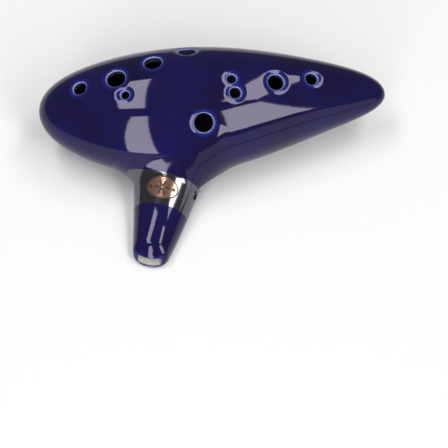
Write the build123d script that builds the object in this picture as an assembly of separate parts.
from build123d import *
from math import atan2, comb, cos, pi, radians, sin
import os

# A twelve-hole transverse ocarina in glazed ceramic. While it is being shaped, X runs along the
# chamber to the player's right, Y points away from the player and Z is up. Lengths are in mm.

# ---- Chamber: a long egg whose sections are tilted, offset ellipses ----
HALF_LENGTH = 86.6
MIDDLE_X = 0.5
WALL = 4.0
# Each list is a Bernstein polynomial from the left tip (0) to the right tip (1) of the chamber.
HALF_WIDTH = [35.2, 28.8, 43.4, 15.4, 23.2]
HALF_HEIGHT = [28.0, 28.5, 27.5, 21.0, 18.0]
CENTRE_Y = [0.5, -2.0, -4.5, 11.3, 11.1]
CREST_SKEW = [0.03, 0.10, 0.12, 0.08, 0.03]
CENTRE_Z = 27.5
LEAN_BACK = 0.12
SECTIONS = 16
SECTION_POINTS = 20

# ---- Mouthpiece: a tapering neck with a rounded beak, seen from above leaning to the right ----
TIP = (-30.6, -74.2)
NECK_LEAN = 11.5
NECK_LENGTH = 62.0
NECK_HALF_WIDTH = [8.0, 14.5, 20.5]
NECK_TOP = [12.0, 13.5, 19.0, 33.0, 38.0]
NECK_BOTTOM = [1.4, 1.4, 2.4]
# The level where the neck is widest: domed above it, nearly flat below.
NECK_WAIST = [4.6, 2.5, 12.0, 24.0]
DOME_SQUARENESS = [2.8, 1.9, 2.0, 2.0, 2.0]
BASE_SQUARENESS = 2.6
# The sections start a little in front of the tip, where the beak is rounded off.
NECK_START = -2.0
NECK_SECTIONS = 10
NECK_POINTS = 24
BEAK_RADIUS = 14.0
BEAK_EDGE = 2.0
# The end as seen from the side: (station, height) of its foot, of the upper lip and of the ridge.
BEAK_FOOT = (0.0, 3.6)
UPPER_LIP = (2.0, 8.8)
BEAK_RIDGE = (6.6, 13.0)
# The hollow curve where the neck meets the chamber, and where to look for the edge that it rounds.
NECK_FILLET = 7.0
JUNCTION_LENGTH = 60.0
JUNCTION_FRONT = -45.0
JUNCTION_BACK = -20.0
JUNCTION_LEVEL = 15.0
# Where to look for the beak's rims, which are rounded too.
RIM_LENGTH = 20.0
RIM_BACK = -66.0

# ---- Joints between the clay pieces ----
# The halves part a little above the line of the tips, so that both tips belong to the lower one.
SEAM_Z = 29.5
SLIP = 0.6
NECK_JOINT_AT = 33.0
MOUTHPIECE_SPLIT_Z = 7.0

# ---- Windway, window and labium: stations are distances along the neck from the beak's tip ----
MOUTH_SLOT = (12.0, 4.8)
MOUTH_Z = 5.4
THROAT_AT = 11.0
THROAT_SLOT = (10.8, 2.2)
THROAT_Z = 6.6
EXIT_SLOT = (9.6, 1.5)
EXIT_Z = 6.0
WINDOW_AT = 58.5
WINDOW_LENGTH = 5.5
WINDOW_WIDTH = 10.0
SHELF_WIDTH = 20.0
SHELF_TOP = 10.0
LABIUM_WIDTH = 13.0
LABIUM_LENGTH = 14.0
LABIUM_TOP = 7.4
LABIUM_BEVEL = 4.0
RAMP_LENGTH = 11.0
RAMP_FOOT_Z = 1.0

# ---- Tone holes: place along the chamber, angle round its section, bore diameter ----
TONE_HOLES = {
    "left_little": (-64.5, 84.1, 6.6),
    "left_ring": (-46.5, 79.5, 9.2),
    "left_middle": (-28.6, 64.6, 8.6),
    "left_index": (-12.1, 47.5, 8.6),
    "left_sub": (-41.6, 99.1, 4.0),
    "right_index": (-3.5, 127.5, 9.2),
    "right_middle": (11.7, 103.3, 5.4),
    "right_sub": (9.9, 89.1, 4.5),
    "right_ring": (31.6, 94.4, 7.8),
    "right_little": (49.3, 89.8, 6.0),
    "left_thumb": (-44.0, 262.0, 10.0),
    "right_thumb": (20.0, 256.0, 9.0),
}
HOLE_BEVEL = 0.8
# The step, in radians, over which the surface's slope at a hole is taken.
SMALL_TURN = 1e-3

# ---- Lanyard hole through the right-hand corner of the neck ----
LANYARD_RADIUS = 1.5
LANYARD_ENTRY = (37.5, 14.6, 13.0)
LANYARD_EXIT = (37.5, 9.0, 3.0)

# ---- Lustre band and its ornament, a thin metal layer fired onto the neck ----
BAND_FROM = 26.3
BAND_TO = 40.0
BAND_DEPTH = 0.3
ORNAMENT_AT = 33.6
ORNAMENT_SIZE = (16.0, 9.6)
ORNAMENT_LINE = 0.7
ORNAMENT_PETALS = 6
PETAL_SIZE = (3.4, 1.3)
PETAL_RING = 2.1
SIDE_DOT_RADIUS = 0.8
SIDE_DOT_OFFSET = 5.7

# Longer than anything here, for tools that have to pass right through.
PAST = 200.0
# A level clear of the underside, and one inside the chamber, clear of all that stands on its floor.
UNDERSIDE = -5.0
IN_CHAMBER = 15.0
# How far a cut runs into the one before it, so that no film of clay is left between them.
LAP = 0.1
STANDING = (Align.CENTER, Align.CENTER, Align.MIN)


def bernstein(values, t):
    """The Bernstein polynomial with these control values, at t from 0 to 1."""
    n = len(values) - 1
    return sum(comb(n, i) * v * t**i * (1 - t) ** (n - i) for i, v in enumerate(values))


def chamber_point(along, angle, inset=0.0):
    """A point on the chamber: along is 0 to pi from end to end, angle goes round the section."""
    axial = -cos(along)
    t = (axial + 1) / 2
    across = sin(along) * cos(angle)
    rise = sin(along) * sin(angle)
    width = bernstein(HALF_WIDTH, t) - inset
    height = bernstein(HALF_HEIGHT, t) - inset
    skew = bernstein(CREST_SKEW, t)
    return Vector(
        MIDDLE_X + (HALF_LENGTH - inset) * axial,
        bernstein(CENTRE_Y, t) + width * across,
        CENTRE_Z + height * (rise * (1 + skew * across) + LEAN_BACK * across),
    )


def chamber_section(along, inset):
    """The section's outline, a closed curve that starts and ends at its lowest point."""
    turns = [2 * pi * i / SECTION_POINTS - pi / 2 for i in range(SECTION_POINTS)]
    return Wire([Edge.make_spline([chamber_point(along, a, inset) for a in turns], periodic=True)])


def chamber_form(inset=0.0):
    """The egg, drawn in by inset all round."""
    stations = [pi * i / SECTIONS for i in range(1, SECTIONS)]
    ends = [Vertex(*chamber_point(along, 0, inset)) for along in (0, pi)]
    rings = [chamber_section(along, inset) for along in stations]
    return Solid.make_loft([ends[0]] + rings + [ends[1]])


def neck_place(station, side=0.0, z=0.0):
    """A point given by its distance from the tip, its offset to the right and its height."""
    lean = radians(NECK_LEAN)
    x = TIP[0] + station * sin(lean) + side * cos(lean)
    y = TIP[1] + station * cos(lean) - side * sin(lean)
    return Vector(x, y, z)


def neck_section(station, inset):
    """A section across the neck, domed above its widest level and nearly flat below."""
    t = station / NECK_LENGTH
    half_width = bernstein(NECK_HALF_WIDTH, t) - inset
    waist = bernstein(NECK_WAIST, t)
    rise = bernstein(NECK_TOP, t) - inset - waist
    drop = waist - bernstein(NECK_BOTTOM, t) - inset
    points = []
    for i in range(NECK_POINTS):
        turn = 2 * pi * (i + 0.5) / NECK_POINTS
        c, s = cos(turn), sin(turn)
        power = 2 / (bernstein(DOME_SQUARENESS, t) if s > 0 else BASE_SQUARENESS)
        side = half_width * abs(c) ** power * (1 if c > 0 else -1)
        lift = rise * s**power if s > 0 else -drop * (-s) ** power
        points.append(neck_place(station, side, waist + lift))
    return Wire([Edge.make_spline(points, periodic=True)])


def neck_box(start, length, width, z_low, z_high):
    """A block square to the neck, centred on its axis."""
    block = Box(width, length, z_high - z_low, align=(Align.CENTER, Align.MIN, Align.MIN))
    return Pos(*neck_place(start, 0, z_low)) * Rot(0, 0, -NECK_LEAN) * block


def side_profile(points, width):
    """A solid of this width whose outline, seen from the side of the neck, joins (station, z) points."""
    side = neck_place(0, 1) - neck_place(0, 0)
    start = neck_place(0, -width / 2, 0)
    plane = Plane(origin=start, x_dir=neck_place(1) - neck_place(0), z_dir=-side)
    face = make_face(plane * Polyline(*points, close=True))
    return extrude(face, amount=width, dir=side)


def neck_form(inset=0.0):
    """The mouthpiece and neck, its beak rounded as seen from above."""
    step = (NECK_LENGTH - NECK_START) / (NECK_SECTIONS - 1)
    stations = [NECK_START + step * i for i in range(NECK_SECTIONS)]
    tube = Solid.make_loft([neck_section(station, inset) for station in stations])
    centre = neck_place(BEAK_RADIUS)
    beak = Pos(centre.X, centre.Y, -PAST / 2) * Cylinder(BEAK_RADIUS - inset, PAST, align=STANDING)
    behind = neck_box(BEAK_RADIUS, NECK_LENGTH, PAST / 2, -PAST / 2, PAST / 2)
    return tube & (beak + behind)


def beak_waste():
    """What is cut off the end of the beak, to leave a leaning end face and a steep slope above it."""
    slope = (BEAK_RIDGE[1] - UPPER_LIP[1]) / (BEAK_RIDGE[0] - UPPER_LIP[0])
    beyond = 2 * BEAK_RIDGE[0]
    crest = UPPER_LIP[1] + slope * (beyond - UPPER_LIP[0])
    front = -BEAK_RADIUS
    points = [(front, BEAK_FOOT[1]), BEAK_FOOT, UPPER_LIP, (beyond, crest), (front, crest)]
    return side_profile(points, 2 * BEAK_RADIUS)


def outer_form(inset=0.0):
    """Chamber and neck grown together, with the hollow curve where they meet."""
    form = chamber_form(inset) + neck_form(inset)
    form = form.fillet(NECK_FILLET + inset, [e for e in form.edges() if is_junction(e)])
    if inset:
        return form
    rims = [e for e in form.edges() if e.center().Y < RIM_BACK and e.length > RIM_LENGTH]
    return form.fillet(BEAK_EDGE, rims) - beak_waste()


def is_junction(edge):
    """Whether this is the edge where the neck meets the chamber."""
    place = edge.center()
    here = JUNCTION_FRONT < place.Y < JUNCTION_BACK and place.Z > JUNCTION_LEVEL
    return here and edge.length > JUNCTION_LENGTH


def slot_section(station, size, z):
    """The windway's outline, square to the neck."""
    across = neck_place(0, 1) - neck_place(0, 0)
    onward = neck_place(1) - neck_place(0)
    return Plane(origin=neck_place(station, 0, z), x_dir=across, z_dir=onward) * Rectangle(*size)


def windway():
    """The flat channel that carries the breath: a flared mouth, then a long even taper."""
    mouth = slot_section(-1, MOUTH_SLOT, MOUTH_Z)
    throat = slot_section(THROAT_AT, THROAT_SLOT, THROAT_Z)
    exit_slot = slot_section(WINDOW_AT + LAP, EXIT_SLOT, EXIT_Z)
    return loft([mouth, throat]) + loft([throat, exit_slot])


def window():
    """The opening below the chamber, across which the breath blows at the labium."""
    return neck_box(WINDOW_AT, WINDOW_LENGTH, WINDOW_WIDTH, UNDERSIDE, IN_CHAMBER)


def ramp():
    """The slope cut in the underside, which leaves the labium sharp."""
    edge = WINDOW_AT + WINDOW_LENGTH
    foot = edge + RAMP_LENGTH
    slope = [(edge, EXIT_Z), (foot, RAMP_FOOT_Z), (foot, UNDERSIDE)]
    return side_profile([(edge - LAP, UNDERSIDE), (edge - LAP, EXIT_Z)] + slope, WINDOW_WIDTH)


def bevel():
    """The short slope on the inner side of the labium."""
    edge = WINDOW_AT + WINDOW_LENGTH
    back = edge + LABIUM_BEVEL
    slope = [(edge, EXIT_Z), (back, LABIUM_TOP), (back, IN_CHAMBER)]
    return side_profile([(edge - 1, IN_CHAMBER), (edge - 1, EXIT_Z)] + slope, LABIUM_WIDTH + 1)


def labium_blank():
    """The block that the labium is cut from."""
    return neck_box(WINDOW_AT + WINDOW_LENGTH, LABIUM_LENGTH, LABIUM_WIDTH, UNDERSIDE, LABIUM_TOP)


def tone_hole(name):
    """A bore square to the surface, with its outer edge bevelled."""
    x, turn, diameter = TONE_HOLES[name]
    along = position_along(x)
    angle = radians(turn)
    lengthways = chamber_point(along + SMALL_TURN, angle) - chamber_point(along - SMALL_TURN, angle)
    crossways = chamber_point(along, angle + SMALL_TURN) - chamber_point(along, angle - SMALL_TURN)
    outward = crossways.cross(lengthways).normalized()
    seat = Plane(origin=chamber_point(along, angle), z_dir=outward)
    radius = diameter / 2
    bore = Cylinder(radius, 5 * WALL, align=STANDING)
    bevelled = Cone(radius, radius + 3 * HOLE_BEVEL, 3 * HOLE_BEVEL, align=STANDING)
    return seat * (Pos(0, 0, -3 * WALL) * bore + Pos(0, 0, -HOLE_BEVEL) * bevelled)


def position_along(x):
    """The position along the chamber, 0 to pi, of the section at x."""
    cosine = -(x - MIDDLE_X) / HALF_LENGTH
    return atan2((1 - cosine**2) ** 0.5, cosine)


def lanyard_hole():
    """A slanting bore from the side of the neck to its underside."""
    entry = neck_place(*LANYARD_ENTRY)
    way = neck_place(*LANYARD_EXIT) - entry
    seat = Plane(origin=entry - way, z_dir=way)
    return seat * Cylinder(LANYARD_RADIUS, 3 * way.length, align=STANDING)


def band_layer(outer):
    """The outermost layer of the neck, as deep as the lustre, between the band's two edges."""
    ring = neck_box(BAND_FROM, BAND_TO - BAND_FROM, PAST / 2, -PAST / 2, PAST / 2)
    return (outer & ring) - outer_form(BAND_DEPTH)


def upright(sketch):
    """A sketch of the ornament, laid over the neck and cut straight down through its upper half."""
    seat = Pos(*neck_place(ORNAMENT_AT, 0, CENTRE_Z / 2)) * Rot(0, 0, -NECK_LEAN)
    return extrude(seat * sketch, amount=PAST)


def oval(grow=0.0):
    """The ornament's outline, grown by this much."""
    return Ellipse(ORNAMENT_SIZE[0] / 2 + grow, ORNAMENT_SIZE[1] / 2 + grow)


def rosette():
    """Petals round a centre, with a dot on either side."""
    petals = PolarLocations(PETAL_RING, ORNAMENT_PETALS) * Ellipse(PETAL_SIZE[0] / 2, PETAL_SIZE[1] / 2)
    dots = [Pos(x, 0) * Circle(SIDE_DOT_RADIUS) for x in (-SIDE_DOT_OFFSET, SIDE_DOT_OFFSET)]
    return Sketch() + petals + dots


def carved(outer):
    """All the clay in one: hollowed, with the breath's path and every hole cut through it."""
    shelf_length = WINDOW_AT - NECK_JOINT_AT
    shelf = neck_box(NECK_JOINT_AT, shelf_length, SHELF_WIDTH, UNDERSIDE, SHELF_TOP)
    base_length = WINDOW_LENGTH + LABIUM_LENGTH + 1
    base = neck_box(WINDOW_AT - 1, base_length, LABIUM_WIDTH, UNDERSIDE, LABIUM_TOP)
    clay = outer - (chamber_form(WALL) - shelf - base)
    for name in TONE_HOLES:
        clay = clay - tone_hole(name)
    return clay - windway() - window() - ramp() - bevel() - lanyard_hole()


def above_seam():
    """All that is above the slip between the chamber's halves."""
    return Pos(0, 0, SEAM_Z + SLIP / 2) * Box(PAST, PAST, PAST, align=STANDING)


def seam_layer():
    """The level of the slip between the chamber's halves."""
    return Pos(0, 0, SEAM_Z) * Box(PAST, PAST, SLIP)


def before_joint():
    """All that is on the player's side of the joint in the neck."""
    return neck_box(-PAST, PAST + NECK_JOINT_AT - SLIP / 2, PAST, -PAST, PAST)


def joint_layer():
    """The slip's place in the neck, up to the seam."""
    return neck_box(NECK_JOINT_AT - SLIP / 2, SLIP, PAST, -PAST, SEAM_Z - SLIP / 2)


def above_windway():
    """All that is above the parting of the mouthpiece's halves."""
    return Pos(0, 0, MOUTHPIECE_SPLIT_Z) * Box(PAST, PAST, PAST, align=STANDING)


def chamber_upper(shell):
    """The upper half of the egg, with most of the tone holes."""
    return shell & above_seam()


def chamber_lower(shell):
    """The lower half of the egg, with the neck's root, the windway's end and the window."""
    return shell - above_seam() - seam_layer()


def seam_slip(shell):
    """The joining clay between the halves."""
    return shell & seam_layer()


def labium(body):
    """The sharp-edged wedge that splits the breath."""
    return body & labium_blank()


def mouthpiece_upper(beak):
    """The mouthpiece above its parting, the windway's roof."""
    return beak & above_windway()


def mouthpiece_lower(beak):
    """The mouthpiece below its parting, the windway's floor."""
    return beak - above_windway()


def neck_slip(clay):
    """The joining clay between mouthpiece and chamber."""
    return clay & joint_layer()


def lustre_band(layer):
    """The metal layer round the neck, without the oval that the ornament fills."""
    return layer - upright(oval())


def ornament_field(layer):
    """The oval's ground, without the lines drawn on it."""
    return (layer & upright(oval())) - upright(drawing())


def ornament_lines(layer):
    """The oval's rim, the petals and the dots."""
    return layer & upright(oval()) & upright(drawing())


def drawing():
    """Everything that is drawn on the oval in dark lustre."""
    return oval() - oval(-ORNAMENT_LINE) + rosette()


def make_parts():
    outer = outer_form()
    layer = band_layer(outer) - lanyard_hole()
    clay = carved(outer) - layer
    beak = clay & before_joint()
    body = clay - before_joint() - joint_layer()
    shell = body - labium_blank()
    return {
        "chamber_upper": chamber_upper(shell),
        "chamber_lower": chamber_lower(shell),
        "seam_slip": seam_slip(shell),
        "labium": labium(body),
        "mouthpiece_upper": mouthpiece_upper(beak),
        "mouthpiece_lower": mouthpiece_lower(beak),
        "neck_slip": neck_slip(clay),
        "lustre_band": lustre_band(layer),
        "ornament_field": ornament_field(layer),
        "ornament_lines": ornament_lines(layer),
    }


def main():
    """Builds every piece, stands them on the origin and writes one file for each."""
    os.makedirs("parts", exist_ok=True)
    parts = make_parts()
    solids = [solid for part in parts.values() for solid in part.solids()]
    box = Compound(children=solids).bounding_box()
    middle = box.center()
    ground = Pos(-middle.X, -middle.Y, -box.min.Z)
    print("size", box.size)
    for name, part in parts.items():
        print(name, len(part.solids()), round(part.volume, 1), part.is_valid)
        export_step(ground * part, f"parts/{name}.step")


main()
